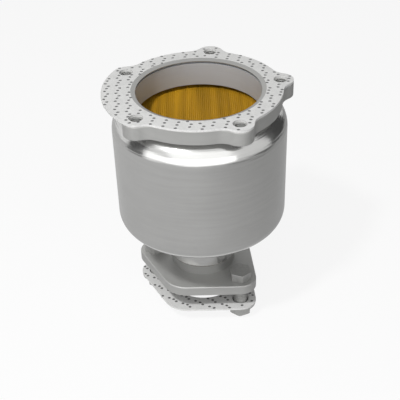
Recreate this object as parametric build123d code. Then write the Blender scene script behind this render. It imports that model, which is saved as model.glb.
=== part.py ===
from build123d import *
import os
from math import cos, floor, hypot, isclose, radians, sin, sqrt

# Catalytic converter with a bolt-on flange at each end: a spun steel can holds a
# coated honeycomb block in a fibre mat. Gas enters at the top and leaves below.
# Frame: the origin is the centre of the inlet flange's sealing face, +Z points
# out of the inlet along the can's axis, and -Y is the front. Millimetres.

# Can
SHELL_OD = 114.3
SHELL_WALL = 1.5
SHOULDER_GAP = 0.5          # inlet flange down to the crown of the can
SHOULDER_R = 14.4           # outer radius of the inlet shoulder
BODY_STRAIGHT = 62.0        # straight part between the shoulder and the outlet bowl
BOWL_R = 10.0               # outer radius where the can turns in to the outlet cone
BOWL_SWEEP = 55.0           # degrees turned by that radius
COLLAR_BEND_R = 6.0         # hollow bend between the outlet cone and its collar
COLLAR_LENGTH = 7.0

# Inlet flange, its neck and the holes that both the flange and its gasket have
INLET_THICKNESS = 9.6
INLET_BODY_R = 53.5         # flange edge between the ears
INLET_HOLE_CIRCLE = 106.8
INLET_HOLE_COUNT = 5
INLET_FIRST_HOLE = 8.6      # degrees from +X
INLET_EAR_R = 8.6
INLET_FLANK_R = 12.0        # hollow flank between an ear and the flange edge
INLET_THREAD_D = 8.0        # M8
INLET_TAPPED_D = 6.8        # core of that thread
FLANGE_EDGE_R = 0.8
NECK_BORE = 81.6
NECK_WALL = 1.8
NECK_RECESS = 1.5           # neck's upper end below the sealing face
NECK_REACH = 5.6            # neck's lower end inside the can
INLET_WELD_LEG = 3.4

# Inlet gasket and the steel ring that lines its bore
GASKET_THICKNESS = 1.5
INLET_GASKET_OVERHANG = 0.5     # past the flange edge between the ears
INLET_GASKET_HOLE_PLAY = 1.0    # hole wider than the thread
EAR_COUNT_TO_BULGE = 2      # ears passed before the one where the outline swells
FIRE_RING_INSET = 0.4       # reach of the ring over the neck's bore
FIRE_RING_WIDTH = 2.8
FIRE_RING_LIP = 0.4         # height of its inner edge
FIRE_RING_LAND = 0.3        # flat rim beside the gasket

# Honeycomb block, its mat and the knitted wire rings at the mat's ends
MAT_THICKNESS = 2.8
BLOCK_TOP_GAP = 3.3         # below the neck's lower end
BLOCK_END_GAP = 2.0         # above the start of the outlet bowl
BLOCK_SKIN = 1.0
CELL_PITCH = 4.6
CELL_WALL = 0.9

# Outlet tube and its welds
TUBE_OD = 44.45
TUBE_WALL = 1.65
TUBE_SHOWN = 8.8            # between the collar's end and the outlet flange
TUBE_PAST_COLLAR = 3.0      # tube's upper end above the collar
TUBE_RECESS = 2.5           # tube's lower end above the outlet flange's face
COLLAR_WELD_LEG = 1.6
COLLAR_WELD_HOLLOW_R = 2.1
RECESS_WELD_HEIGHT = 1.4

# Outlet flange, its gasket and its fasteners
OUTLET_THICKNESS = 7.5
OUTLET_BODY_R = 34.4
OUTLET_SWELL_R = 18.6       # rounds the fuller side between the left and the front ear
OUTLET_SWELL_OFFSET = 21.0  # from the axis to the centre of that radius
OUTLET_SWELL_ANGLE = -123.2
OUTLET_HOLE_R = 36.0        # from the axis to each hole
OUTLET_HOLE_ANGLES = (165.0, -45.0, 54.5)
OUTLET_EAR_R = 11.0
OUTLET_HOLE_PLAY = 1.0      # hole wider than the bolt
OUTLET_GASKET_HOLE_PLAY = 1.5
OUTLET_GASKET_SETBACK = 1.8     # gasket's bore outside the tube
BOLT_D = 10.0
BOLT_LENGTH = 32.0
BOLT_TIP_CHAMFER = 1.0
BOLT_TIP_SHOWN = 1.5        # beyond its nut
HEX_FLATS = 14.0            # across flats, the bolt heads and the nuts alike
HEX_EASED = 0.6             # turned off the far corners, measured towards the axis
HEAD_HEIGHT = 6.0
NUT_HEIGHT = 9.0
NUT_FLANGE_D = 21.6
NUT_FLANGE_RIM = 1.4
NUT_FLANGE_SLOPE = 0.5      # fall of the flange's skirt for each mm inwards
NUT_COUNTERSINK = 0.5
HEX_TURNS = (20.0, 38.0, 35.0)  # how far each bolt and nut is turned

# Heights and radii that follow
shell_r = SHELL_OD / 2
neck_r = NECK_BORE / 2 + NECK_WALL
flange_under = -INLET_THICKNESS
crown_z = flange_under - SHOULDER_GAP
neck_low = crown_z - SHELL_WALL - NECK_REACH
shoulder_z = crown_z - SHOULDER_R
fire_ring_inner = NECK_BORE / 2 - FIRE_RING_INSET
fire_ring_outer = fire_ring_inner + FIRE_RING_WIDTH
bowl_z = shoulder_z - BODY_STRAIGHT
block_r = shell_r - SHELL_WALL - MAT_THICKNESS
block_top = neck_low - BLOCK_TOP_GAP
block_low = bowl_z + BLOCK_END_GAP
upper_seal_z = shoulder_z
lower_seal_z = block_low + MAT_THICKNESS / 2
tube_r = TUBE_OD / 2
collar_r = tube_r + SHELL_WALL
cone_cos = cos(radians(BOWL_SWEEP))
cone_sin = sin(radians(BOWL_SWEEP))
bowl_r_centre = shell_r - BOWL_R
cone_start = (bowl_r_centre + BOWL_R * cone_cos, bowl_z - BOWL_R * cone_sin)
bend_r_centre = collar_r + COLLAR_BEND_R
bend_z = cone_start[1] + ((bend_r_centre - cone_start[0]) * cone_cos - COLLAR_BEND_R) / cone_sin
collar_end = bend_z - COLLAR_LENGTH
outlet_top = collar_end - TUBE_SHOWN
outlet_face = outlet_top - OUTLET_THICKNESS
tube_low = outlet_face + TUBE_RECESS
nut_seat = outlet_top - BOLT_LENGTH + BOLT_TIP_SHOWN + NUT_HEIGHT
hex_r = HEX_FLATS / 2


def on_axis(profile):
    """Turn a flat profile, drawn as (radius, height), about the can's axis."""
    return revolve(Plane.XZ * profile, axis=Axis.Z)


def ring(outer_r, inner_r, low, high):
    """A plain ring between two heights."""
    return Pos(0, 0, low) * extrude(Circle(outer_r) - Circle(inner_r), high - low)


def polar_places(radius, angles):
    """Places on a circle round the axis, without turning what stands on them."""
    return [Pos(radius * cos(radians(a)), radius * sin(radians(a)), 0) for a in angles]


inlet_angles = [INLET_FIRST_HOLE + 360 / INLET_HOLE_COUNT * i for i in range(INLET_HOLE_COUNT)]
inlet_places = polar_places(INLET_HOLE_CIRCLE / 2, inlet_angles)
outlet_places = polar_places(OUTLET_HOLE_R, OUTLET_HOLE_ANGLES)


def can_outline(depth):
    """The can's section at a depth below its outer surface, from the crown to the collar's end."""
    shoulder = shell_r - SHOULDER_R
    shoulder_arc = SHOULDER_R - depth
    crown = crown_z - depth
    turn = BOWL_R - depth
    bend = COLLAR_BEND_R + depth
    half_down = radians(BOWL_SWEEP / 2)
    cone_top = (bowl_r_centre + turn * cone_cos, bowl_z - turn * cone_sin)
    cone_low = (bend_r_centre - bend * cone_cos, bend_z + bend * cone_sin)
    in_collar = (collar_r - depth, bend_z)
    half = sqrt(0.5)
    return [
        Line((0, crown), (shoulder, crown)),
        ThreePointArc(
            (shoulder, crown),
            (shoulder + shoulder_arc * half, shoulder_z + shoulder_arc * half),
            (shell_r - depth, shoulder_z),
        ),
        Line((shell_r - depth, shoulder_z), (shell_r - depth, bowl_z)),
        ThreePointArc(
            (shell_r - depth, bowl_z),
            (bowl_r_centre + turn * cos(half_down), bowl_z - turn * sin(half_down)),
            cone_top,
        ),
        Line(cone_top, cone_low),
        ThreePointArc(
            cone_low,
            (bend_r_centre - bend * cos(half_down), bend_z + bend * sin(half_down)),
            in_collar,
        ),
        Line(in_collar, (collar_r - depth, collar_end)),
    ]


def can_section(depth):
    """The filled half section inside that outline."""
    edges = can_outline(depth)
    low = (0, collar_end)
    closing = [Line((collar_r - depth, collar_end), low), Line(low, edges[0] @ 0)]
    return make_face(edges + closing)


def inside_neck():
    """Flat strip, as (radius, height), from the sealing face down to the neck's lower end."""
    return Pos(neck_r / 2, neck_low / 2) * Rectangle(neck_r, -neck_low)


def make_shell():
    """One spun can: inlet shoulder, straight body, outlet bowl, cone and collar."""
    wall = can_section(0) - can_section(SHELL_WALL) - inside_neck()
    return on_axis(wall)


def eared_outline(body_r, bulge):
    """Round body with an ear at each inlet hole, and a swelling between two ears if asked."""
    ears = Sketch() + [place * Circle(INLET_EAR_R) for place in inlet_places]
    outline = Circle(body_r) + ears
    if bulge:
        start = inlet_angles[EAR_COUNT_TO_BULGE]
        reach = INLET_HOLE_CIRCLE / 2 + INLET_EAR_R
        spread = 360 / INLET_HOLE_COUNT
        sector = make_face([
            Line((0, 0), Vector(reach, 0).rotate(Axis.Z, start)),
            CenterArc((0, 0), reach, start, spread),
            Line(Vector(reach, 0).rotate(Axis.Z, start + spread), (0, 0)),
        ])
        outline = outline + sector
    hollows = outline.vertices().filter_by(lambda v: isclose(hypot(v.X, v.Y), body_r, rel_tol=1e-4))
    return fillet(hollows, INLET_FLANK_R)


def rounded_plate(outline, thickness, radius):
    """Plate from its lower face up, with its outer edges rounded."""
    plate = extrude(outline, thickness)
    rims = plate.edges().group_by(Axis.Z)
    return fillet(rims[0] + rims[-1], radius)


def make_inlet_flange():
    """Thick plate with five ears, a bore for the neck and tapped holes."""
    plate = rounded_plate(eared_outline(INLET_BODY_R, False), INLET_THICKNESS, FLANGE_EDGE_R)
    cutters = Circle(neck_r) + [place * Circle(INLET_TAPPED_D / 2) for place in inlet_places]
    return Pos(0, 0, flange_under) * (plate - extrude(cutters, INLET_THICKNESS))


def make_inlet_weld():
    """Bead in the throat between the flange, the neck and the can's shoulder."""
    height = SHOULDER_GAP + SHOULDER_R
    bead = Pos(neck_r + INLET_WELD_LEG / 2, flange_under - height / 2) * Rectangle(INLET_WELD_LEG, height)
    return on_axis(bead - can_section(0))


def make_inlet_gasket():
    """Flat gasket with the flange's ears, swollen between two of them."""
    outline = eared_outline(INLET_BODY_R + INLET_GASKET_OVERHANG, True)
    hole_r = (INLET_THREAD_D + INLET_GASKET_HOLE_PLAY) / 2
    holes = [place * Circle(hole_r) for place in inlet_places]
    return extrude(outline - Circle(fire_ring_outer) - holes, GASKET_THICKNESS)


def make_fire_ring():
    """Folded steel ring in the gasket's bore, sloping down to its inner edge."""
    section = Polyline(
        (fire_ring_inner, 0),
        (fire_ring_outer, 0),
        (fire_ring_outer, GASKET_THICKNESS),
        (fire_ring_outer - FIRE_RING_LAND, GASKET_THICKNESS),
        (fire_ring_inner, FIRE_RING_LIP),
        close=True,
    )
    return on_axis(make_face(section))


def make_block():
    """Honeycomb block: square channels right through, with whole cells only inside its skin."""
    hole = CELL_PITCH - CELL_WALL
    field_r = block_r - BLOCK_SKIN
    reach = floor(field_r / CELL_PITCH)
    steps = range(-reach, reach + 1)
    corner = hole / 2
    cells = [
        Pos(i * CELL_PITCH, j * CELL_PITCH)
        for i in steps
        for j in steps
        if Vector(abs(i) * CELL_PITCH + corner, abs(j) * CELL_PITCH + corner).length < field_r
    ]
    outer = Wire(Circle(block_r).edges())
    channels = [Wire((cell * Rectangle(hole, hole)).edges()) for cell in cells]
    return Pos(0, 0, block_low) * extrude(Face(outer, channels), block_top - block_low)


def make_mat_seal(height):
    """Ring of knitted wire that fills the gap round the block."""
    middle = block_r + MAT_THICKNESS / 2
    return on_axis(Pos(middle, height) * Circle(MAT_THICKNESS / 2))


def make_support_mat():
    """Fibre mat round the block, between the two wire rings."""
    seal_r = MAT_THICKNESS / 2
    return ring(block_r + MAT_THICKNESS, block_r, lower_seal_z + seal_r, upper_seal_z - seal_r)


def make_collar_weld():
    """Fillet weld round the tube at the collar's end."""
    leg = COLLAR_WELD_LEG
    section = make_face([
        Line((tube_r, collar_end), (tube_r + leg, collar_end)),
        RadiusArc((tube_r + leg, collar_end), (tube_r, collar_end - leg), COLLAR_WELD_HOLLOW_R),
        Line((tube_r, collar_end - leg), (tube_r, collar_end)),
    ])
    return on_axis(section)


def outlet_outline():
    """Three ears, a round middle and a fuller side, joined by straight tangents."""
    swell_place = polar_places(OUTLET_SWELL_OFFSET, [OUTLET_SWELL_ANGLE])[0]
    rounds = [Circle(OUTLET_BODY_R), swell_place * Circle(OUTLET_SWELL_R)]
    rounds += [place * Circle(OUTLET_EAR_R) for place in outlet_places]
    return make_hull([edge for one in rounds for edge in one.edges()])


def make_outlet_flange():
    """Three-eared plate on the outlet tube."""
    plate = rounded_plate(outlet_outline(), OUTLET_THICKNESS, FLANGE_EDGE_R)
    hole_r = (BOLT_D + OUTLET_HOLE_PLAY) / 2
    cutters = Circle(tube_r) + [place * Circle(hole_r) for place in outlet_places]
    return Pos(0, 0, outlet_face) * (plate - extrude(cutters, OUTLET_THICKNESS))


def make_outlet_gasket():
    """Flat gasket of the outlet flange's outline, lying on the nuts."""
    hole_r = (BOLT_D + OUTLET_GASKET_HOLE_PLAY) / 2
    holes = [place * Circle(hole_r) for place in outlet_places]
    outline = outlet_outline() - Circle(tube_r + OUTLET_GASKET_SETBACK) - holes
    return Pos(0, 0, nut_seat) * extrude(outline, GASKET_THICKNESS)


def hex_prism(turn, height):
    """Hexagon with its far corners turned off to a cone."""
    hexagon = Rot(0, 0, turn) * RegularPolygon(hex_r, 6, major_radius=False)
    corner_r = hex_r / cos(radians(30))
    rim = height - HEX_EASED / 2
    limit = Polyline(
        (0, 0), (corner_r, 0), (corner_r, rim), (corner_r - HEX_EASED, height), (0, height), close=True
    )
    return extrude(hexagon, height) & on_axis(make_face(limit))


def make_bolt(turn):
    """Hexagon bolt with its head's seat at the origin and its tip down."""
    shank = Pos(0, 0, -BOLT_LENGTH) * extrude(Circle(BOLT_D / 2), BOLT_LENGTH)
    tip = chamfer(shank.edges().group_by(Axis.Z)[0], BOLT_TIP_CHAMFER)
    return hex_prism(turn, HEAD_HEIGHT) + tip


def make_nut(turn):
    """Flange nut with its flange's face at the origin and its hexagon down."""
    flange_r = NUT_FLANGE_D / 2
    skirt_low = -NUT_FLANGE_RIM - (flange_r - hex_r) * NUT_FLANGE_SLOPE
    skirt = Polyline(
        (0, 0), (flange_r, 0), (flange_r, -NUT_FLANGE_RIM), (hex_r, skirt_low), (0, skirt_low), close=True
    )
    hexagon = Rot(180, 0, 0) * hex_prism(turn, NUT_HEIGHT)
    body = on_axis(make_face(skirt)) + hexagon
    bore = body - Pos(0, 0, -NUT_HEIGHT) * extrude(Circle(BOLT_D / 2), NUT_HEIGHT)
    mouths = bore.edges().filter_by(GeomType.CIRCLE).filter_by(lambda e: isclose(e.radius, BOLT_D / 2))
    return chamfer(mouths, NUT_COUNTERSINK)


def fastened(make, height):
    """One of a fastener at each outlet hole, as a group of separate solids."""
    placed = [
        Pos(0, 0, height) * place * make(turn)
        for place, turn in zip(outlet_places, HEX_TURNS)
    ]
    return Compound(children=placed)


nodes = {
    "inlet_gasket": make_inlet_gasket(),
    "inlet_fire_ring": make_fire_ring(),
    "inlet_flange": make_inlet_flange(),
    "inlet_neck": ring(neck_r, NECK_BORE / 2, neck_low, -NECK_RECESS),
    "inlet_weld": make_inlet_weld(),
    "shell": make_shell(),
    "honeycomb_block": make_block(),
    "support_mat": make_support_mat(),
    "upper_mat_seal": make_mat_seal(upper_seal_z),
    "lower_mat_seal": make_mat_seal(lower_seal_z),
    "outlet_tube": ring(tube_r, tube_r - TUBE_WALL, tube_low, bend_z + TUBE_PAST_COLLAR),
    "collar_weld": make_collar_weld(),
    "outlet_flange": make_outlet_flange(),
    "recess_weld": ring(tube_r, tube_r - TUBE_WALL, tube_low - RECESS_WELD_HEIGHT, tube_low),
    "outlet_gasket": make_outlet_gasket(),
    "outlet_bolts": fastened(make_bolt, outlet_top),
    "outlet_nuts": fastened(make_nut, nut_seat),
}

os.makedirs("parts", exist_ok=True)
for name, shape in nodes.items():
    export_step(shape, "parts/" + name + ".step")
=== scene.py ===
"""Dresses a bolt-on catalytic converter: brushed steel, gold cells, gasket tangs, threads and welds."""

import math

import bmesh
import bpy
from bpy.props import FloatProperty, FloatVectorProperty, IntProperty, PointerProperty
from mathutils import Matrix, Vector


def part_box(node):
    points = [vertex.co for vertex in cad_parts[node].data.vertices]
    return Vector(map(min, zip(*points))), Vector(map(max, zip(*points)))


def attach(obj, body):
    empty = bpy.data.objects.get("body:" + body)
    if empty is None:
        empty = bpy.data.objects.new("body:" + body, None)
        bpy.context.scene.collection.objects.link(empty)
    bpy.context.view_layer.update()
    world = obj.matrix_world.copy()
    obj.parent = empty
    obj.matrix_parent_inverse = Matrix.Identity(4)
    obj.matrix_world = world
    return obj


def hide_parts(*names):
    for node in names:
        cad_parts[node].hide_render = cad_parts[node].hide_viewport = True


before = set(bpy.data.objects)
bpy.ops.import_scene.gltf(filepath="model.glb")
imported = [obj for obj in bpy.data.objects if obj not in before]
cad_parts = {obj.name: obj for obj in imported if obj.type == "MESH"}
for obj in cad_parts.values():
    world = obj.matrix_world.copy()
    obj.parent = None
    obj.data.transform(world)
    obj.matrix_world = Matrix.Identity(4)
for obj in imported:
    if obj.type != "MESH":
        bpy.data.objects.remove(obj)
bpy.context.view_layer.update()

bl_info = {
    "name": "Converter Dresser",
    "version": (1, 0, 0),
    "blender": (4, 5, 0),
    "location": "3D View > Sidebar > Converter",
    "description": "Finishes, cells, threads, tangs and welds of a bolt-on catalytic converter",
    "category": "Object",
}

BODY = "root"
MM = 0.001
SAME_PLACE = 0.002 * MM      # points this close are one point
FLAT_BELOW = 0.5             # turn of an edge, in degrees, that is taken for flat
SMOOTH_BELOW = 35.0          # turn of an edge, in degrees, that is shaded smooth

# Camera of the picture, in the part's frame, with its turns in degrees
CAMERA_PLACE = (0.0, -0.4832, 0.2499)
CAMERA_DOWN = 34.77
CAMERA_YAW = -0.15
CAMERA_ROLL = -1.81
CAMERA_LENS = 76.39

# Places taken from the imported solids
block_low, block_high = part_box("honeycomb_block")
block_r = (block_high.x - block_low.x) / 2
bolts_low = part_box("outlet_bolts")[0]
seat_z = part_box("outlet_flange")[1].z
floor_z = min(bolts_low.z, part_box("outlet_nuts")[0].z)

# Tapped holes of the inlet flange, in millimetres and degrees
TAPPED_HOLES = 5
FIRST_TAPPED_HOLE = 8.6
TAPPED_PLACE_R = 53.4
TAPPED_REACH = 3.6
TAPPED_PITCH = 1.25
TAPPED_RIDGE = 0.3

# Level at which the brush lines of the upper and the lower half meet, in millimetres
BRUSH_MIDDLE_Z = -55.0

# Rolled marks of the can, in millimetres: the level down to which they are deep, and the faint middle
ROLLED_LOW_Z = -30.0
ROLLED_FADE = 6.0
FAINT_HALF_WIDTH = 14.0
FAINT_FADE = 24.0

# Lattices of the gaskets' tangs, in millimetres: two steps, then the second and third tang of each group
TANG_LATTICES = {
    "inlet_gasket": {
        "First step": (7.4, -2.9),
        "Second step": (0.3, -10.6),
        "Second tang": (-0.9, -3.8),
        "Third tang": (1.3, -7.4),
    },
    "outlet_gasket": {
        "First step": (9.0, 2.1),
        "Second step": (0.8, -8.4),
        "Second tang": (3.2, -1.6),
        "Third tang": (5.0, -3.9),
    },
}
LATTICE_STEPS = 26
RIM_ABOVE = 60.0             # turn of an edge, in degrees, that belongs to the gasket's rims
TANG_MARGIN = 0.5            # free space up to a rim, as a part of the tang's size

# Bolts, nuts and welds
BOLT_R = 5 * MM
BOLT_CHAMFER = 1 * MM
THREAD_DEPTH = 0.62          # part of the pitch
ROD_RINGS = 190
ROD_SIDES = 36
EASED_WIDTH = 0.22 * MM
EASED_ABOVE = 0.5            # turn of an edge, in radians, that is rounded off
BEAD_HALF_WIDTHS = {"inlet_weld": 1.6 * MM, "collar_weld": 1.6 * MM, "recess_weld": 0.8 * MM}
BEAD_SIDES = 14
RIPPLE_DEPTH = 0.16          # part of the bead's half width

# Floor of the stage, in metres: places across it with their greys, and the rings at its right side; these
# greys are painted shade and light that the steel mirrors
FLOOR_REACH = 3.0
FLOOR_GREYS = ((-0.3, 0.63), (0.0, 0.58), (0.15, 0.47), (0.28, 0.42))
RINGS_X = 0.045
RINGS_Y = -0.03
DARK_RING_R = 0.32
LIGHT_RING_R = 0.62
RING_BLUR = 0.06
WHITE_R = 0.075

# Brightness of the surroundings for scattered light; in the picture and in mirrors it is 1
WORLD_LIGHT = 0.26


class Wire:
    """One output of a node. Maths on it adds Math nodes to the same tree."""

    def __init__(self, tree, socket):
        self.tree = tree
        self.socket = socket

    def maths(self, operation, *others, swap=False):
        sources = [self, *others]
        if swap:
            sources.reverse()
        return self.tree.node("ShaderNodeMath", {"operation": operation}, dict(enumerate(sources)))

    def __add__(self, other):
        return self.maths("ADD", other)

    def __radd__(self, other):
        return self.maths("ADD", other, swap=True)

    def __sub__(self, other):
        return self.maths("SUBTRACT", other)

    def __rsub__(self, other):
        return self.maths("SUBTRACT", other, swap=True)

    def __mul__(self, other):
        return self.maths("MULTIPLY", other)

    def __rmul__(self, other):
        return self.maths("MULTIPLY", other, swap=True)

    def __truediv__(self, other):
        return self.maths("DIVIDE", other)

    def __rtruediv__(self, other):
        return self.maths("DIVIDE", other, swap=True)

    def __pow__(self, other):
        return self.maths("POWER", other)

    def __rpow__(self, other):
        return self.maths("POWER", other, swap=True)

    def __lt__(self, other):
        return self.maths("LESS_THAN", other)

    def __gt__(self, other):
        return self.maths("GREATER_THAN", other)

    def fraction(self):
        return self.maths("FRACT")

    def size(self):
        return self.maths("ABSOLUTE")

    def sine(self):
        return self.maths("SINE")

    def cosine(self):
        return self.maths("COSINE")

    def at_most(self, other):
        return self.maths("MINIMUM", other)

    def at_least(self, other):
        return self.maths("MAXIMUM", other)

    def within(self, low, high):
        """The value held between two limits."""
        return self.at_least(low).at_most(high)

    def rise(self, start, width):
        """0 up to the start, then up to 1 over the width."""
        return ((self - start) / width).within(0.0, 1.0)

    def fall(self, end, width):
        """1 until a width before the end, then down to 0 there."""
        return ((end - self) / width).within(0.0, 1.0)


class Tree:
    """A node tree that is being wired up."""

    def __init__(self, tree):
        self.tree = tree

    def node(self, kind, settings=None, sockets=None, output=0):
        """A new node: its settings first, then the values or links of its sockets."""
        made = self.tree.nodes.new(kind)
        for name, value in (settings or {}).items():
            if name == "stops":
                self.set_stops(made.color_ramp, value)
            else:
                setattr(made, name, value)
        for key, value in (sockets or {}).items():
            self.feed(made.inputs[key], value)
        return Wire(self, made.outputs[output]) if made.outputs else made

    def outputs(self, kind, settings=None, sockets=None):
        """All outputs of a new node, by name."""
        made = self.node(kind, settings, sockets).socket.node
        return {socket.name: Wire(self, socket) for socket in made.outputs}

    def feed(self, socket, value):
        """Link a wire to a socket, or set a plain value on it."""
        if isinstance(value, Wire):
            self.tree.links.new(value.socket, socket)
        else:
            socket.default_value = value

    @staticmethod
    def set_stops(ramp, stops):
        """Give a colour ramp its places and colours."""
        while len(ramp.elements) < len(stops):
            ramp.elements.new(1.0)
        for element, (place, colour) in zip(ramp.elements, stops):
            element.position = place
            element.color = (*colour, 1.0)

    def parts(self, vector):
        """The X, Y and Z of a vector."""
        split = self.node("ShaderNodeSeparateXYZ", sockets={0: vector})
        return [Wire(self, socket) for socket in split.socket.node.outputs]

    def vector(self, x, y, z):
        return self.node("ShaderNodeCombineXYZ", sockets={0: x, 1: y, 2: z})

    def scaled(self, vector, factor):
        return self.node("ShaderNodeVectorMath", {"operation": "SCALE"}, {0: vector, "Scale": factor})

    def plus(self, first, second):
        """The sum of two vectors."""
        return self.node("ShaderNodeVectorMath", {"operation": "ADD"}, {0: first, 1: second})

    def blend(self, factor, first, second):
        """A colour between two colours."""
        return self.node("ShaderNodeMix", {"data_type": "RGBA"}, {0: factor, 6: first, 7: second}, output=2)

    def noise(self, vector, scale, detail=2.0, roughness=0.5):
        sockets = {"Vector": vector, "Scale": scale, "Detail": detail, "Roughness": roughness}
        return self.node("ShaderNodeTexNoise", sockets=sockets)

    def moved(self, geometry, place):
        """A geometry with its points put at new places."""
        return self.node("GeometryNodeSetPosition", sockets={"Geometry": geometry, "Position": place})

    def merged(self, geometry):
        """A mesh with its coinciding points made one."""
        sockets = {"Geometry": geometry, "Distance": SAME_PLACE}
        return self.node("GeometryNodeMergeByDistance", sockets=sockets)

    def without(self, geometry, chosen, domain):
        """A geometry without its chosen points, edges or faces."""
        sockets = {"Geometry": geometry, "Selection": chosen}
        return self.node("GeometryNodeDeleteGeometry", {"domain": domain}, sockets)

    def together(self, *geometries):
        """Several geometries as one."""
        whole = self.node("GeometryNodeJoinGeometry")
        for geometry in geometries:
            self.feed(whole.socket.node.inputs[0], geometry)
        return whole


def shade(values, factor):
    """A colour property, lighter or darker, as the four values that a socket takes."""
    return (*(min(1.0, value * factor) for value in values[:3]), 1.0)


# Materials


def empty_material(name):
    """A material without nodes, and its tree."""
    material = bpy.data.materials.new(name)
    material.use_nodes = True
    material.node_tree.nodes.clear()
    return material, Tree(material.node_tree)


def new_material(name):
    """An empty material, its tree and the wire of object coordinates in millimetres."""
    material, tree = empty_material(name)
    return material, tree, tree.scaled(tree.node("ShaderNodeTexCoord", output="Object"), 1 / MM)


def finish_material(material, tree, sockets):
    """Close the tree with its surface shader."""
    surface = tree.node("ShaderNodeBsdfPrincipled", sockets=sockets)
    tree.node("ShaderNodeOutputMaterial", sockets={0: surface})
    return material


def bump(tree, height, distance):
    """The normal of a relief that is so many millimetres deep."""
    return tree.node("ShaderNodeBump", sockets={"Height": height, "Distance": distance * MM})


def tapped_relief(x, y, z):
    """Ridges of the thread inside the inlet flange's tapped holes.

    The whole turns that are added keep the fractions above 0.
    """
    radius = (x * x + y * y) ** 0.5
    step = math.tau / TAPPED_HOLES
    angle = y.maths("ARCTAN2", x)
    turn = (((angle - math.radians(FIRST_TAPPED_HOLE)) / step + 10.5).fraction() - 0.5) * step
    out = radius * turn.cosine() - TAPPED_PLACE_R
    aside = radius * turn.sine()
    inside = (out * out + aside * aside) ** 0.5 < TAPPED_REACH
    phase = (z / TAPPED_PITCH + aside.maths("ARCTAN2", out) / math.tau + 20.0).fraction()
    return (phase * 2.0 - 1.0).size() * inside * TAPPED_RIDGE


def turned_steel(
    name, base, metallic=0.7, roughness=0.42, line=3.2, relief=0.04, contrast=0.12, anisotropic=0.5,
    tapped=False, rolled=False
):
    """Steel with fine marks that run round the can's axis, on flat faces and walls alike.

    Rolled steel has its deepest marks at the top, and fainter ones towards the middle of front and back.
    """
    material, tree, place = new_material(name)
    x, y, z = tree.parts(place)
    across = (z - BRUSH_MIDDLE_Z).size() - (x * x + y * y) ** 0.5
    marks = tree.noise(tree.vector(x * 0.025, y * 0.025, across * line * 0.2), 1.0, 1.0, 0.5)
    fine = tree.noise(tree.vector(x * 0.03, y * 0.03, across * line), 1.0, 2.0, 0.6)
    clouds = tree.noise(place, 0.05, 3.0, 0.55)
    tone = (marks - 0.5) * contrast * 1.6 + (fine - 0.5) * contrast + (clouds - 0.5) * contrast * 1.2 + 0.5
    rough = roughness + (fine - 0.5) * 0.22 + (marks - 0.5) * 0.16 + (clouds - 0.5) * 0.1
    height = (marks + fine * 0.08) * relief
    if rolled:
        upper = ((z - ROLLED_LOW_Z) / ROLLED_FADE).within(0.05, 1.0)
        sides = ((x.size() - FAINT_HALF_WIDTH) / FAINT_FADE).within(0.25, 1.0)
        height = height * upper * sides
    if tapped:
        height = height + tapped_relief(x, y, z)
    return finish_material(material, tree, {
        "Base Color": tree.blend(tone.within(0.0, 1.0), shade(base, 0.72), shade(base, 1.28)),
        "Metallic": metallic,
        "Roughness": rough.within(0.12, 0.8),
        "Anisotropic": anisotropic,
        "Normal": bump(tree, height, 1.0),
    })


def weld_metal(name, base):
    """Rolled and slightly oxidised weld bead."""
    material, tree, place = new_material(name)
    clouds = tree.noise(place, 0.35, 4.0, 0.6)
    grain = tree.noise(place, 3.0, 2.0, 0.5)
    tint = tree.blend((clouds * 2.4 - 0.8).within(0.0, 1.0), shade(base, 0.7), shade(base, 1.15))
    return finish_material(material, tree, {
        "Base Color": tint,
        "Metallic": 0.6,
        "Roughness": (0.38 + clouds * 0.2 + grain * 0.1).within(0.2, 0.8),
        "Normal": bump(tree, grain, 0.05),
    })


def gasket_facing(name, base):
    """Pale pressed fibre with graphite flecks."""
    material, tree, place = new_material(name)
    x, y, z = tree.parts(place)
    clouds = tree.noise(place, 0.12, 4.0, 0.6)
    fibres = tree.noise(tree.vector(x * 0.9, y * 2.8, z), 1.0, 4.0, 0.65)
    flecks = tree.noise(place, 2.6, 2.0, 0.6)
    fleck_mask = ((flecks - 0.63) * 9.0).within(0.0, 1.0)
    tone = ((clouds - 0.5) * 0.9 + (fibres - 0.5) * 2.2 + 0.55).within(0.0, 1.0)
    plain = tree.blend(tone, shade(base, 0.77), shade(base, 1.02))
    return finish_material(material, tree, {
        "Base Color": tree.blend(fleck_mask * 0.45, plain, (0.25, 0.25, 0.25, 1.0)),
        "Roughness": (0.62 + (fibres - 0.5) * 0.25).within(0.3, 0.9),
        "Normal": bump(tree, fibres * 0.7 + flecks * 0.3, 0.05),
    })


def washcoat(name, base):
    """Gold coating, drawn into long streaks by the slurry that ran through the cells."""
    material, tree, place = new_material(name)
    x, y, z = tree.parts(place)
    streaks = tree.noise(tree.vector(x * 0.16, y * 0.006, z * 0.002), 1.0, 1.6, 0.5)
    broad = tree.noise(tree.vector(x * 0.05, y * 0.01, z * 0.01), 1.0, 2.0, 0.5)
    grain = tree.noise(place, 2.2, 2.0, 0.5)
    tone = ((streaks - 0.5) * 2.2 + (broad - 0.5) * 0.9 + (grain - 0.5) * 0.3 + 0.5).within(0.0, 1.0)
    return finish_material(material, tree, {
        "Base Color": tree.blend(tone, shade(base, 0.62), shade(base, 1.22)),
        "Roughness": (0.6 + (grain - 0.5) * 0.3).within(0.3, 0.9),
        "Specular IOR Level": 0.2,
        "Normal": bump(tree, grain, 0.03),
    })


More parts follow.
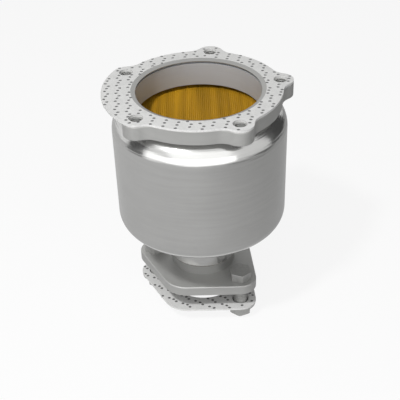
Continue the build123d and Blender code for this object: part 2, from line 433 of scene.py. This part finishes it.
def zinc_plate(name, base):
    """Dull zinc with faint blotches and draw lines."""
    material, tree, place = new_material(name)
    x, y, z = tree.parts(place)
    blotches = tree.noise(place, 0.5, 4.0, 0.6)
    grain = tree.noise(tree.vector(x * 1.2, y * 1.2, z * 5.0), 1.0, 2.0, 0.5)
    tone = ((blotches - 0.5) * 1.1 + (grain - 0.5) * 0.4 + 0.5).within(0.0, 1.0)
    return finish_material(material, tree, {
        "Base Color": tree.blend(tone, shade(base, 0.74), shade(base, 1.15)),
        "Metallic": 0.45,
        "Roughness": (0.36 + (blotches - 0.5) * 0.35).within(0.18, 0.7),
        "Normal": bump(tree, grain, 0.02),
    })


def fibre_mat(name, base):
    """Felted ceramic fibre, matted in every direction."""
    material, tree, place = new_material(name)
    x, y, z = tree.parts(place)
    warp = tree.noise(tree.vector(x * 3.0, y * 3.0, z * 0.7), 1.0, 4.0, 0.7)
    weft = tree.noise(tree.vector(x * 0.7, y * 0.7, z * 3.0), 1.0, 4.0, 0.7)
    tone = ((warp + weft - 1.0) * 1.6 + 0.5).within(0.0, 1.0)
    return finish_material(material, tree, {
        "Base Color": tree.blend(tone, shade(base, 0.7), shade(base, 1.2)),
        "Roughness": 0.95,
        "Normal": bump(tree, warp + weft, 0.4),
    })


def tang_steel(name, base):
    """Dark clinched points of the gasket's steel core."""
    material, tree, place = new_material(name)
    grain = tree.noise(place, 4.0, 2.0, 0.6)
    return finish_material(material, tree, {
        "Base Color": tree.blend(grain, shade(base, 0.6), shade(base, 1.4)),
        "Metallic": 0.6,
        "Roughness": (0.4 + grain * 0.3).within(0.3, 0.8),
        "Normal": bump(tree, grain, 0.04),
    })


# Meshes


def keep_node(node, material):
    """Give a solid of the frame its finish and leave its shape alone."""
    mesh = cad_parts[node].data
    mesh.materials.clear()
    mesh.materials.append(material)
    for polygon in mesh.polygons:
        polygon.material_index = 0


def add_piece(name, mesh, material, slot, *nodes):
    """Link a finished mesh, let it ride on the converter and stand for the nodes named."""
    piece = bpy.data.objects.new(name, mesh)
    bpy.context.scene.collection.objects.link(piece)
    mesh.materials.clear()
    mesh.materials.append(material)
    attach(piece, BODY)
    if nodes:
        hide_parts(*nodes)


def merged_copy(node):
    """A copy of a solid of the frame to work on, with its loose triangles joined."""
    shape = bmesh.new()
    shape.from_mesh(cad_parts[node].data)
    bmesh.ops.remove_doubles(shape, verts=shape.verts, dist=SAME_PLACE)
    flat = math.radians(FLAT_BELOW)
    bmesh.ops.dissolve_limit(shape, angle_limit=flat, verts=shape.verts, edges=shape.edges)
    return shape


def finished_mesh(name, shape):
    """The mesh of a worked copy, smooth except across sharp edges."""
    mesh = bpy.data.meshes.new(name)
    shape.to_mesh(mesh)
    shape.free()
    mesh.shade_smooth()
    mesh.set_sharp_from_angle(angle=math.radians(SMOOTH_BELOW))
    return mesh


def new_holder(name, mesh):
    """An object that carries a mesh while a modifier works on it."""
    holder = bpy.data.objects.new(name + "_holder", mesh)
    bpy.context.scene.collection.objects.link(holder)
    return holder


def plain_mesh(name, holder):
    """What the modifiers make of a holder, as a mesh. The holder goes."""
    bpy.context.view_layer.update()
    graph = bpy.context.evaluated_depsgraph_get()
    mesh = bpy.data.meshes.new_from_object(holder.evaluated_get(graph))
    mesh.name = name
    holder.modifiers.clear()
    bpy.data.objects.remove(holder)
    return mesh


def eased_mesh(name, mesh):
    """A mesh with its sharp edges rounded off a little."""
    holder = new_holder(name, mesh)
    bevel = holder.modifiers.new("Ease", "BEVEL")
    bevel.width = EASED_WIDTH
    bevel.segments = 2
    bevel.limit_method = "ANGLE"
    bevel.angle_limit = EASED_ABOVE
    return plain_mesh(name, holder)


def split_islands(shape):
    """The vertices of each separate piece of a worked copy."""
    left = set(shape.verts)
    islands = []
    while left:
        queue = [left.pop()]
        island = list(queue)
        while queue:
            vert = queue.pop()
            for edge in vert.link_edges:
                other = edge.other_vert(vert)
                if other in left:
                    left.remove(other)
                    queue.append(other)
                    island.append(other)
        islands.append(island)
    return islands


def cut_heads():
    """The bolts' heads alone, closed below, and the centre of each bolt in order of x."""
    shape = merged_copy("outlet_bolts")
    shank = [face for face in shape.faces if min(vert.co.z for vert in face.verts) < seat_z - 0.1 * MM]
    bmesh.ops.delete(shape, geom=shank, context="FACES")
    bmesh.ops.holes_fill(shape, edges=[edge for edge in shape.edges if edge.is_boundary])
    centres = []
    for island in split_islands(shape):
        xs = [vert.co.x for vert in island]
        ys = [vert.co.y for vert in island]
        centres.append(((min(xs) + max(xs)) / 2, (min(ys) + max(ys)) / 2))
    return finished_mesh("bolt_heads", shape), sorted(centres)


def joined(name, meshes):
    """Several meshes as one."""
    shape = bmesh.new()
    for mesh in meshes:
        shape.from_mesh(mesh)
    result = bpy.data.meshes.new(name)
    shape.to_mesh(result)
    shape.free()
    return result


# Geometry node trees


def new_geometry_tree(name, inputs):
    """A geometry tree with named inputs: its group, the tree to wire up and the inputs' wires by name."""
    group = bpy.data.node_groups.new(name, "GeometryNodeTree")
    group.interface.new_socket("Geometry", in_out="INPUT", socket_type="NodeSocketGeometry")
    for label, kind in inputs.items():
        group.interface.new_socket(label, in_out="INPUT", socket_type=kind)
    group.interface.new_socket("Geometry", in_out="OUTPUT", socket_type="NodeSocketGeometry")
    tree = Tree(group)
    return group, tree, tree.outputs("NodeGroupInput")


def close_geometry_tree(tree, geometry, material):
    """End a tree in Realize Instances and Set Material."""
    real = tree.node("GeometryNodeRealizeInstances", sockets={0: geometry})
    painted = tree.node("GeometryNodeSetMaterial", sockets={"Geometry": real, "Material": material})
    tree.node("NodeGroupOutput", sockets={0: painted})


def grow(name, group, values):
    """Run a geometry tree on an empty mesh and keep its result as a plain mesh."""
    holder = new_holder(name, bpy.data.meshes.new(name + "_seed"))
    modifier = holder.modifiers.new("Grow", "NODES")
    modifier.node_group = group
    identifiers = {
        item.name: item.identifier
        for item in group.interface.items_tree
        if item.item_type == "SOCKET" and item.in_out == "INPUT"
    }
    for label, value in values.items():
        modifier[identifiers[label]] = value
    return plain_mesh(name, holder)


def cell_tree(material):
    """Honeycomb block: square channels right through a round block, its outer cells filled."""
    group, tree, wires = new_geometry_tree("Honeycomb block", {
        "Radius": "NodeSocketFloat",
        "Skin": "NodeSocketFloat",
        "Pitch": "NodeSocketFloat",
        "Wall": "NodeSocketFloat",
        "Low": "NodeSocketFloat",
        "High": "NodeSocketFloat",
        "Cells across": "NodeSocketInt",
    })
    radius = wires["Radius"]
    pitch = wires["Pitch"]
    count = wires["Cells across"]
    side = pitch * count
    grid = tree.node("GeometryNodeMeshGrid", sockets={
        "Size X": side, "Size Y": side, "Vertices X": count + 1.0, "Vertices Y": count + 1.0,
    })
    x, y, _ = tree.parts(tree.node("GeometryNodeInputPosition"))
    middle_r = (x * x + y * y) ** 0.5
    outside = middle_r > radius - pitch * 0.3
    disc = tree.without(grid, outside, "FACE")
    corner_x = x.size() + pitch * 0.5
    corner_y = y.size() + pitch * 0.5
    whole = (corner_x * corner_x + corner_y * corner_y) ** 0.5 < radius - wires["Skin"]
    marked = tree.node("GeometryNodeStoreNamedAttribute", {"data_type": "BOOLEAN", "domain": "FACE"}, {
        "Geometry": disc, "Name": "open cell", "Value": whole,
    })
    rim_edge = tree.node("GeometryNodeInputMeshEdgeNeighbors") < 1.5
    on_edges = {"data_type": "FLOAT", "domain": "EDGE"}
    rim_point = tree.node("GeometryNodeFieldOnDomain", on_edges, {0: rim_edge})
    grown = radius / middle_r
    rounded = tree.node("GeometryNodeSetPosition", sockets={
        "Geometry": marked, "Selection": rim_point > 0.01, "Position": tree.vector(x * grown, y * grown, 0.0),
    })
    open_cell = tree.node("GeometryNodeInputNamedAttribute", {"data_type": "BOOLEAN"}, {"Name": "open cell"})
    inset = tree.outputs("GeometryNodeExtrudeMesh", {"mode": "FACES"}, {
        "Mesh": rounded, "Selection": open_cell, "Offset Scale": 0.0, "Individual": True,
    })
    shrunk = tree.node("GeometryNodeScaleElements", {"domain": "FACE"}, {
        "Geometry": inset["Mesh"], "Selection": inset["Top"], "Scale": 1.0 - wires["Wall"] / pitch,
    })
    web = tree.without(shrunk, inset["Top"], "FACE")
    low_web = tree.node("GeometryNodeSetPosition", sockets={
        "Geometry": web, "Offset": tree.vector(0.0, 0.0, wires["Low"]),
    })
    raised = tree.node("GeometryNodeExtrudeMesh", {"mode": "FACES"}, {
        "Mesh": low_web,
        "Offset": (0.0, 0.0, 1.0),
        "Offset Scale": wires["High"] - wires["Low"],
        "Individual": False,
    })
    under = tree.node("GeometryNodeFlipFaces", sockets={0: low_web})
    close_geometry_tree(tree, tree.merged(tree.together(raised, under)), material)
    return group


def rod_tree(material):
    """Round rod with a helical thread from a given depth down to a chamfered tip."""
    group, tree, wires = new_geometry_tree("Threaded rod", {
        "Centre": "NodeSocketVector",
        "Radius": "NodeSocketFloat",
        "Length": "NodeSocketFloat",
        "Plain": "NodeSocketFloat",
        "Pitch": "NodeSocketFloat",
        "Depth": "NodeSocketFloat",
        "Chamfer": "NodeSocketFloat",
        "Rings": "NodeSocketInt",
        "Sides": "NodeSocketInt",
    })
    rings = wires["Rings"]
    length = wires["Length"]
    grid = tree.node("GeometryNodeMeshGrid", sockets={
        "Size X": 1.0, "Size Y": 1.0, "Vertices X": wires["Sides"] + 1.0, "Vertices Y": rings,
    })
    u, v, _ = tree.parts(tree.node("GeometryNodeInputPosition"))
    turn = u + 0.5
    row = (v + 0.5) * (rings - 1.0)
    along = ((row - 1.0) / (rings - 3.0)).within(0.0, 1.0) * length
    phase = (along / wires["Pitch"] + turn).fraction()
    groove = (1.15 - (phase * 2.0 - 1.0).size() * 1.4).within(0.0, 1.0)
    cut = along.rise(wires["Plain"], wires["Pitch"])
    threaded = wires["Radius"] - wires["Depth"] * groove * cut
    tip = wires["Radius"] - wires["Chamfer"] + (length - along)
    end = (row < 0.5) + (row > rings - 1.5)
    radius = threaded.at_most(tip) * (1.0 - end)
    angle = turn * math.tau
    place = tree.vector(radius * angle.cosine(), radius * angle.sine(), 0.0 - along)
    rod = tree.merged(tree.moved(grid, tree.plus(place, wires["Centre"])))
    smooth = tree.node("GeometryNodeSetShadeSmooth", sockets={"Geometry": rod})
    close_geometry_tree(tree, smooth, material)
    return group


def bead_tree(material):
    """Weld bead round the can's axis, with the ripples of its overlapping drops."""
    group, tree, wires = new_geometry_tree("Weld bead", {
        "Radius": "NodeSocketFloat",
        "Height": "NodeSocketFloat",
        "Half width": "NodeSocketFloat",
        "Half height": "NodeSocketFloat",
        "Ripples": "NodeSocketInt",
        "Ripple": "NodeSocketFloat",
    })
    ripples = wires["Ripples"]
    grid = tree.node("GeometryNodeMeshGrid", sockets={
        "Size X": 1.0, "Size Y": 1.0, "Vertices X": ripples * 6.0 + 1.0, "Vertices Y": BEAD_SIDES + 1,
    })
    u, v, _ = tree.parts(tree.node("GeometryNodeInputPosition"))
    around = (v + 0.5) * math.tau
    bow = around.cosine().size() * 0.35
    drop = ((u + 0.5) * ripples + bow).fraction()
    swell = 1.0 - wires["Ripple"] * (drop ** 1.6)
    turn = (u + 0.5) * math.tau
    radius = wires["Radius"] + wires["Half width"] * swell * around.cosine()
    height = wires["Height"] + wires["Half height"] * swell * around.sine()
    bead = tree.merged(tree.moved(grid, tree.vector(radius * turn.cosine(), radius * turn.sine(), height)))
    smooth = tree.node("GeometryNodeSetShadeSmooth", sockets={"Geometry": bead})
    close_geometry_tree(tree, smooth, material)
    return group


def tang_tree(material):
    """Clinched tangs in a slanting lattice of threes over both faces of a gasket."""
    group, tree, wires = new_geometry_tree("Gasket tangs", {
        "Gasket": "NodeSocketObject",
        "Face": "NodeSocketFloat",
        "Under": "NodeSocketFloat",
        "First step": "NodeSocketVector",
        "Second step": "NodeSocketVector",
        "Second tang": "NodeSocketVector",
        "Third tang": "NodeSocketVector",
        "Margin": "NodeSocketFloat",
        "Size": "NodeSocketFloat",
        "Proud": "NodeSocketFloat",
        "Steps": "NodeSocketInt",
    })
    steps = wires["Steps"]
    solid = tree.node("GeometryNodeObjectInfo", sockets={"Object": wires["Gasket"]}, output="Geometry")
    gasket = tree.merged(solid)
    grid = tree.node("GeometryNodeMeshGrid", sockets={
        "Size X": steps, "Size Y": steps, "Vertices X": steps + 1.0, "Vertices Y": steps + 1.0,
    })
    i, j, _ = tree.parts(tree.node("GeometryNodeInputPosition"))
    knot = tree.plus(tree.scaled(wires["First step"], i), tree.scaled(wires["Second step"], j))
    first = tree.plus(knot, tree.vector(0.0, 0.0, wires["Face"]))
    second = tree.plus(first, wires["Second tang"])
    third = tree.plus(first, wires["Third tang"])
    every = tree.together(*(tree.moved(grid, place) for place in (first, second, third)))
    spots = tree.node("GeometryNodeMeshToPoints", sockets={"Mesh": every})
    ray = tree.outputs("GeometryNodeRaycast", sockets={
        "Target Geometry": gasket,
        "Source Position": tree.plus(tree.node("GeometryNodeInputPosition"), (0.0, 0.0, MM)),
        "Ray Direction": (0.0, 0.0, -1.0),
        "Ray Length": 2 * MM,
    })
    sharp = tree.node("GeometryNodeInputMeshEdgeAngle") > math.radians(RIM_ABOVE)
    rim = tree.without(gasket, sharp < 0.5, "EDGE")
    near = tree.outputs("GeometryNodeProximity", {"target_element": "EDGES"}, {0: rim})
    keep = ray["Is Hit"] * (near["Distance"] > wires["Margin"])
    kept = tree.without(spots, keep < 0.5, "POINT")
    cone = tree.node("GeometryNodeMeshCone", {"fill_type": "TRIANGLE_FAN"}, {
        "Vertices": 10, "Side Segments": 1, "Fill Segments": 1,
        "Radius Top": 0.6, "Radius Bottom": 1.0, "Depth": 1.0,
    })
    size = wires["Size"]
    tang = tree.node("GeometryNodeTransform", sockets={
        "Geometry": cone, "Scale": tree.vector(size, size * 0.85, wires["Proud"]),
    })
    turn = (tree.node("GeometryNodeInputIndex") * 0.9).sine() * 0.4
    upper = tree.node("GeometryNodeInstanceOnPoints", sockets={
        "Points": kept, "Instance": tang, "Rotation": tree.vector(0.0, 0.0, turn),
    })
    lowered = tree.node("GeometryNodeSetPosition", sockets={
        "Geometry": kept, "Offset": tree.vector(0.0, 0.0, wires["Under"] - wires["Face"]),
    })
    lower = tree.node("GeometryNodeInstanceOnPoints", sockets={
        "Points": lowered, "Instance": tang, "Rotation": tree.vector(math.pi, 0.0, turn),
    })
    close_geometry_tree(tree, tree.together(upper, lower), material)
    return group


# Stage


def seen_directly(tree):
    """Two masks: rays from the camera, a mirror finish or glass, and rays from the camera alone."""
    path = tree.outputs("ShaderNodeLightPath")
    from_camera = path["Is Camera Ray"]
    return (from_camera + path["Is Glossy Ray"] + path["Is Transmission Ray"]).at_most(1.0), from_camera


def studio_grey(tree):
    """The floor's grey in mirrors and scattered light. In the picture itself the floor is white.

    It darkens to the right, where a dark ring and then a lighter one follow, and is white under the part.
    These greys glow in mirrors as painted shade and light on the steel.
    """
    x, y, _ = tree.parts(tree.node("ShaderNodeTexCoord", output="Object"))
    stops = [(place + 0.5, (grey,) * 3) for place, grey in FLOOR_GREYS]
    across = tree.parts(tree.node("ShaderNodeValToRGB", {"stops": stops}, {0: x + 0.5}))[0]
    away = ((x - RINGS_X) ** 2.0 + (y - RINGS_Y) ** 2.0) ** 0.5
    side = x.rise(0.24, 0.08) * y.fall(0.12, 0.10)
    dark = away.rise(DARK_RING_R, RING_BLUR) * away.fall(LIGHT_RING_R, RING_BLUR) * side
    light = away.rise(LIGHT_RING_R, RING_BLUR) * side
    near = ((x * x + y * y) ** 0.5).fall(WHITE_R, 0.03)
    grey = across * (1.0 - dark * 0.8) + light * 0.4
    return grey + (1.0 - grey) * near


def add_sheet(name, corners, material, in_picture=True):
    """A flat piece of the stage with four corners."""
    mesh = bpy.data.meshes.new(name)
    mesh.from_pydata(corners, [], [(0, 1, 2, 3)])
    mesh.materials.append(material)
    sheet = bpy.data.objects.new(name, mesh)
    bpy.context.scene.collection.objects.link(sheet)
    sheet.visible_camera = in_picture


def add_floor():
    """A floor that is plain white in the picture and keeps a faint shadow."""
    material, tree = empty_material("Plain floor")
    direct, from_camera = seen_directly(tree)
    grey = studio_grey(tree)
    tone = grey + (1.0 - grey) * from_camera
    matte = tree.node("ShaderNodeBsdfDiffuse", sockets={"Color": tree.vector(*[tone * 0.8] * 3)})
    glow = tree.node("ShaderNodeEmission", sockets={"Color": tree.vector(tone, tone, tone), "Strength": 1.0})
    mixed = tree.node("ShaderNodeMixShader", sockets={0: direct * 0.88, 1: matte, 2: glow})
    tree.node("ShaderNodeOutputMaterial", sockets={0: mixed})
    signs = ((-1, -1), (1, -1), (1, 1), (-1, 1))
    add_sheet("floor", [(i * FLOOR_REACH, j * FLOOR_REACH, floor_z) for i, j in signs], material)


def add_light(name, place, aim, power, width, height):
    """A rectangular soft light that faces a point."""
    lamp = bpy.data.lights.new(name, "AREA")
    lamp.shape = "RECTANGLE"
    lamp.size = width
    lamp.size_y = height
    lamp.energy = power
    light = bpy.data.objects.new(name, lamp)
    way = Vector(aim) - Vector(place)
    light.matrix_world = Matrix.Translation(place) @ way.to_track_quat("-Z", "Y").to_matrix().to_4x4()
    bpy.context.scene.collection.objects.link(light)


def add_lights():
    """Key from the upper front left, and walls of light in front, above that and at the left."""
    add_light(
        "key", place=(-0.37, -0.44, 0.80), aim=(0.0, 0.0, -0.06), power=6.8, width=0.09, height=0.09,
    )
    add_light(
        "front wall", place=(0.0, -0.76, 0.05), aim=(0.0, 0.0, 0.05), power=2.8, width=1.36, height=0.43,
    )
    add_light(
        "upper wall", place=(0.0, -0.66, 0.52), aim=(0.0, 0.0, 0.0), power=1.5, width=1.2, height=0.56,
    )
    add_light(
        "left wall", place=(-0.68, -0.52, 0.05), aim=(0.0, -0.52, 0.05), power=0.66, width=0.48, height=0.43,
    )


def add_card(name, x, front, back, top):
    """Dark card that stands beside the part, out of the picture, where the polished steel mirrors it."""
    material, tree = empty_material(name)
    matte = tree.node("ShaderNodeBsdfDiffuse", sockets={"Color": (0.04, 0.04, 0.04, 1.0)})
    tree.node("ShaderNodeOutputMaterial", sockets={0: matte})
    low = floor_z + 2 * MM
    corners = [(x, front, low), (x, back, low), (x, back, top), (x, front, top)]
    add_sheet(name, corners, material, in_picture=False)


def add_cards():
    """Dark cards that stand at both sides."""
    add_card("left card", x=-0.60, front=-0.21, back=0.07, top=0.62)
    add_card("right card", x=0.60, front=0.02, back=0.62, top=0.60)


def add_world(scene):
    """White surroundings, dimmer as a light than as a backdrop."""
    world = bpy.data.worlds.new("White surroundings")
    scene.world = world
    world.use_nodes = True
    world.node_tree.nodes.clear()
    tree = Tree(world.node_tree)
    strength = WORLD_LIGHT + seen_directly(tree)[0] * (1.0 - WORLD_LIGHT)
    sky = tree.node("ShaderNodeBackground", sockets={"Color": (1.0, 1.0, 1.0, 1.0), "Strength": strength})
    tree.node("ShaderNodeOutputWorld", sockets={0: sky})


def add_camera(scene):
    """The picture's camera: in front and above, rolled a little."""
    down = math.radians(CAMERA_DOWN)
    yaw = math.radians(CAMERA_YAW)
    roll = math.radians(CAMERA_ROLL)
    ahead = Vector((math.sin(yaw) * math.cos(down), math.cos(yaw) * math.cos(down), -math.sin(down)))
    level = Vector((math.cos(yaw), -math.sin(yaw), 0.0))
    upright = level.cross(ahead)
    right = math.cos(roll) * level + math.sin(roll) * upright
    up = math.cos(roll) * upright - math.sin(roll) * level
    turn = Matrix((right, up, -ahead)).transposed().to_4x4()
    data = bpy.data.cameras.new("camera")
    data.sensor_width = 36.0
    data.lens = CAMERA_LENS
    data.clip_start = 0.01
    camera = bpy.data.objects.new("camera", data)
    camera.matrix_world = Matrix.Translation(CAMERA_PLACE) @ turn
    scene.collection.objects.link(camera)
    scene.camera = camera


# Properties


def finish_colour(name, description, default):
    """A property that holds the colour of one finish."""
    return FloatVectorProperty(name=name, description=description, subtype="COLOR", size=3, default=default)


def fine_length(name, description, millimetres):
    """A property that holds a length."""
    return FloatProperty(name=name, description=description, default=millimetres * MM, unit="LENGTH")


class ConverterColours(bpy.types.PropertyGroup):
    """Colours of the converter's finishes."""

    can: finish_colour("Can", "Spun steel of the can", (0.56, 0.56, 0.55))
    flange: finish_colour("Flange", "Steel of both flanges and the outlet tube", (0.40, 0.40, 0.39))
    # Painted light: the neck's slight blue cancels the warm light that the gold cells throw on it
    neck: finish_colour("Neck", "Steel of the inlet neck", (0.48, 0.50, 0.53))
    ring: finish_colour("Ring", "Folded ring in the gasket's bore", (0.34, 0.34, 0.33))
    weld: finish_colour("Weld", "Weld beads", (0.36, 0.35, 0.33))
    coat: finish_colour("Coating", "Gold coating of the cells", (0.47, 0.25, 0.012))
    facing: finish_colour("Facing", "Pale facing of the gaskets", (0.72, 0.72, 0.71))
    tang: finish_colour("Tangs", "Clinched points of the gasket core", (0.15, 0.15, 0.15))
    zinc: finish_colour("Zinc", "Plating of bolts and nuts", (0.35, 0.35, 0.34))
    mat: finish_colour("Mat", "Fibre mat round the block", (0.60, 0.57, 0.50))
    wire: finish_colour("Wire", "Knitted wire rings", (0.42, 0.41, 0.39))


class ConverterSizes(bpy.types.PropertyGroup):
    """Sizes of the fine detail that the solids leave out."""

    cell_pitch: fine_length("Cell pitch", "From one cell to the next", 1.27)
    cell_wall: fine_length("Cell wall", "Coated web between two cells", 0.42)
    block_skin: fine_length("Block skin", "Solid rim of the block", 1.0)
    bolt_pitch: fine_length("Bolt pitch", "Pitch of the 10 mm thread", 1.5)
    bolt_plain: fine_length("Plain shank", "Shank without thread below the head", 6)
    tang_size: fine_length("Tang size", "Half the length of a tang mark", 1.05)
    tang_proud: fine_length("Tang height", "How far a tang stands off the facing", 0.12)
    weld_ripples: IntProperty(name="Weld ripples", description="Drops in 100 mm of bead", default=35, min=10)


# Operators


class ConverterCan(bpy.types.Operator):
    """Brush the can, neck and tube"""

    bl_idname = "converter.can"
    bl_label = "Can"

    def execute(self, context):
        colours = context.scene.converter_colours
        can = turned_steel(
            "Spun can steel", colours.can, metallic=0.85, roughness=0.17, relief=0.21, contrast=0.14,
            anisotropic=0.2, rolled=True,
        )
        tube = turned_steel("Tube steel", colours.flange, metallic=0.6, roughness=0.42, line=4.0)
        # The neck's colour holds a painted cool tint against the gold cells' warm bounce light
        neck = turned_steel("Neck steel", colours.neck, metallic=0.3, roughness=0.5, line=4.0)
        keep_node("shell", can)
        keep_node("inlet_neck", neck)
        keep_node("outlet_tube", tube)
        return {"FINISHED"}


class ConverterFlanges(bpy.types.Operator):
    """Face both flanges and finish the folded ring of the inlet gasket"""

    bl_idname = "converter.flanges"
    bl_label = "Flanges"

    def execute(self, context):
        colours = context.scene.converter_colours
        faced = turned_steel(
            "Faced flange steel", colours.flange, metallic=0.5, roughness=0.48, line=2.2, anisotropic=0.3,
            tapped=True,
        )
        folded = turned_steel(
            "Folded ring steel", colours.ring, metallic=0.7, roughness=0.34, line=3.0, relief=0.02,
            contrast=0.08,
        )
        keep_node("inlet_flange", faced)
        keep_node("outlet_flange", faced)
        keep_node("inlet_fire_ring", folded)
        return {"FINISHED"}


class ConverterBlock(bpy.types.Operator):
    """Draw the fine cells of the honeycomb block"""

    bl_idname = "converter.block"
    bl_label = "Honeycomb block"

    def execute(self, context):
        sizes = context.scene.converter_sizes
        coat = washcoat("Gold washcoat", context.scene.converter_colours.coat)
        across = 2 * math.ceil(block_r / sizes.cell_pitch) + 1
        mesh = grow("honeycomb", cell_tree(coat), {
            "Radius": block_r,
            "Skin": sizes.block_skin,
            "Pitch": sizes.cell_pitch,
            "Wall": sizes.cell_wall,
            "Low": block_low.z,
            "High": block_high.z,
            "Cells across": across,
        })
        add_piece("honeycomb_cells", mesh, coat, "gold_washcoat", "honeycomb_block")
        return {"FINISHED"}


class ConverterMat(bpy.types.Operator):
    """Finish the mat and the wire rings round the block"""

    bl_idname = "converter.mat"
    bl_label = "Mat and seals"

    def execute(self, context):
        colours = context.scene.converter_colours
        keep_node("support_mat", fibre_mat("Ceramic fibre mat", colours.mat))
        knitted = weld_metal("Knitted wire", colours.wire)
        keep_node("upper_mat_seal", knitted)
        keep_node("lower_mat_seal", knitted)
        return {"FINISHED"}


class ConverterGaskets(bpy.types.Operator):
    """Press the gaskets and clinch their tangs"""

    bl_idname = "converter.gaskets"
    bl_label = "Gaskets"

    def execute(self, context):
        colours = context.scene.converter_colours
        sizes = context.scene.converter_sizes
        facing = gasket_facing("Pressed gasket facing", colours.facing)
        tangs = tang_steel("Clinched tang steel", colours.tang)
        tree = tang_tree(tangs)
        for gasket, lattice in TANG_LATTICES.items():
            keep_node(gasket, facing)
            low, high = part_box(gasket)
            values = {name: Vector((*step, 0.0)) * MM for name, step in lattice.items()}
            values.update({
                "Gasket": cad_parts[gasket],
                "Face": high.z,
                "Under": low.z,
                "Margin": TANG_MARGIN * sizes.tang_size,
                "Size": sizes.tang_size,
                "Proud": sizes.tang_proud,
                "Steps": LATTICE_STEPS,
            })
            mesh = grow(gasket + "_tangs", tree, values)
            add_piece(gasket + "_tangs", mesh, tangs, "ring_steel")
        return {"FINISHED"}


class ConverterWelds(bpy.types.Operator):
    """Lay the weld beads"""

    bl_idname = "converter.welds"
    bl_label = "Welds"

    def execute(self, context):
        metal = weld_metal("Weld bead", context.scene.converter_colours.weld)
        ripples_per_metre = context.scene.converter_sizes.weld_ripples * 10
        tree = bead_tree(metal)
        for node, half_width in BEAD_HALF_WIDTHS.items():
            low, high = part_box(node)
            radius = high.x - half_width
            half = (high.z - low.z) / 2
            centre_z = high.z if node == "collar_weld" else (low.z + high.z) / 2
            mesh = grow(node + "_bead", tree, {
                "Radius": radius,
                "Height": centre_z,
                "Half width": half_width,
                "Half height": half * 2 if node == "collar_weld" else half,
                "Ripples": round(math.tau * radius * ripples_per_metre),
                "Ripple": RIPPLE_DEPTH,
            })
            add_piece(node + "_bead", mesh, metal, "weld_metal", node)
        return {"FINISHED"}


class ConverterFasteners(bpy.types.Operator):
    """Cut the bolts' threads and round off bolts and nuts"""

    bl_idname = "converter.fasteners"
    bl_label = "Bolts and nuts"

    def execute(self, context):
        sizes = context.scene.converter_sizes
        zinc = zinc_plate("Zinc plate", context.scene.converter_colours.zinc)
        heads, centres = cut_heads()
        tree = rod_tree(zinc)
        pieces = [eased_mesh("bolt_heads", heads)]
        for x, y in centres:
            pieces.append(grow("rod", tree, {
                "Centre": (x, y, seat_z),
                "Radius": BOLT_R,
                "Length": seat_z - bolts_low.z,
                "Plain": sizes.bolt_plain,
                "Pitch": sizes.bolt_pitch,
                "Depth": THREAD_DEPTH * sizes.bolt_pitch,
                "Chamfer": BOLT_CHAMFER,
                "Rings": ROD_RINGS,
                "Sides": ROD_SIDES,
            }))
        add_piece("threaded_bolts", joined("threaded_bolts", pieces), zinc, "zinc_plate", "outlet_bolts")
        nuts = eased_mesh("flange_nuts", finished_mesh("flange_nuts", merged_copy("outlet_nuts")))
        add_piece("flange_nuts", nuts, zinc, "zinc_plate", "outlet_nuts")
        return {"FINISHED"}


class ConverterStage(bpy.types.Operator):
    """Set the floor, the lights and the camera"""

    bl_idname = "converter.stage"
    bl_label = "Stage"

    def execute(self, context):
        add_floor()
        add_lights()
        add_cards()
        add_world(context.scene)
        add_camera(context.scene)
        context.scene.view_settings.view_transform = "Standard"
        return {"FINISHED"}


PIECE_OPERATORS = (
    ConverterCan,
    ConverterFlanges,
    ConverterBlock,
    ConverterMat,
    ConverterGaskets,
    ConverterWelds,
    ConverterFasteners,
    ConverterStage,
)


class ConverterPanel(bpy.types.Panel):
    """Lists the converter's colours, sizes and operators"""

    bl_idname = "VIEW3D_PT_converter"
    bl_label = "Converter"
    bl_space_type = "VIEW_3D"
    bl_region_type = "UI"
    bl_category = "Converter"

    def draw(self, context):
        for group in (context.scene.converter_colours, context.scene.converter_sizes):
            column = self.layout.column(align=True)
            for name in group.__annotations__:
                column.prop(group, name)
        for operator in PIECE_OPERATORS:
            self.layout.operator(operator.bl_idname)


CLASSES = (ConverterColours, ConverterSizes, *PIECE_OPERATORS, ConverterPanel)


def register():
    for item in CLASSES:
        bpy.utils.register_class(item)
    bpy.types.Scene.converter_colours = PointerProperty(type=ConverterColours)
    bpy.types.Scene.converter_sizes = PointerProperty(type=ConverterSizes)


def unregister():
    del bpy.types.Scene.converter_sizes
    del bpy.types.Scene.converter_colours
    for item in reversed(CLASSES):
        bpy.utils.unregister_class(item)


def main():
    register()
    for operator in PIECE_OPERATORS:
        getattr(bpy.ops.converter, operator.bl_idname.split(".")[1])()


if __name__ == "__main__":
    main()
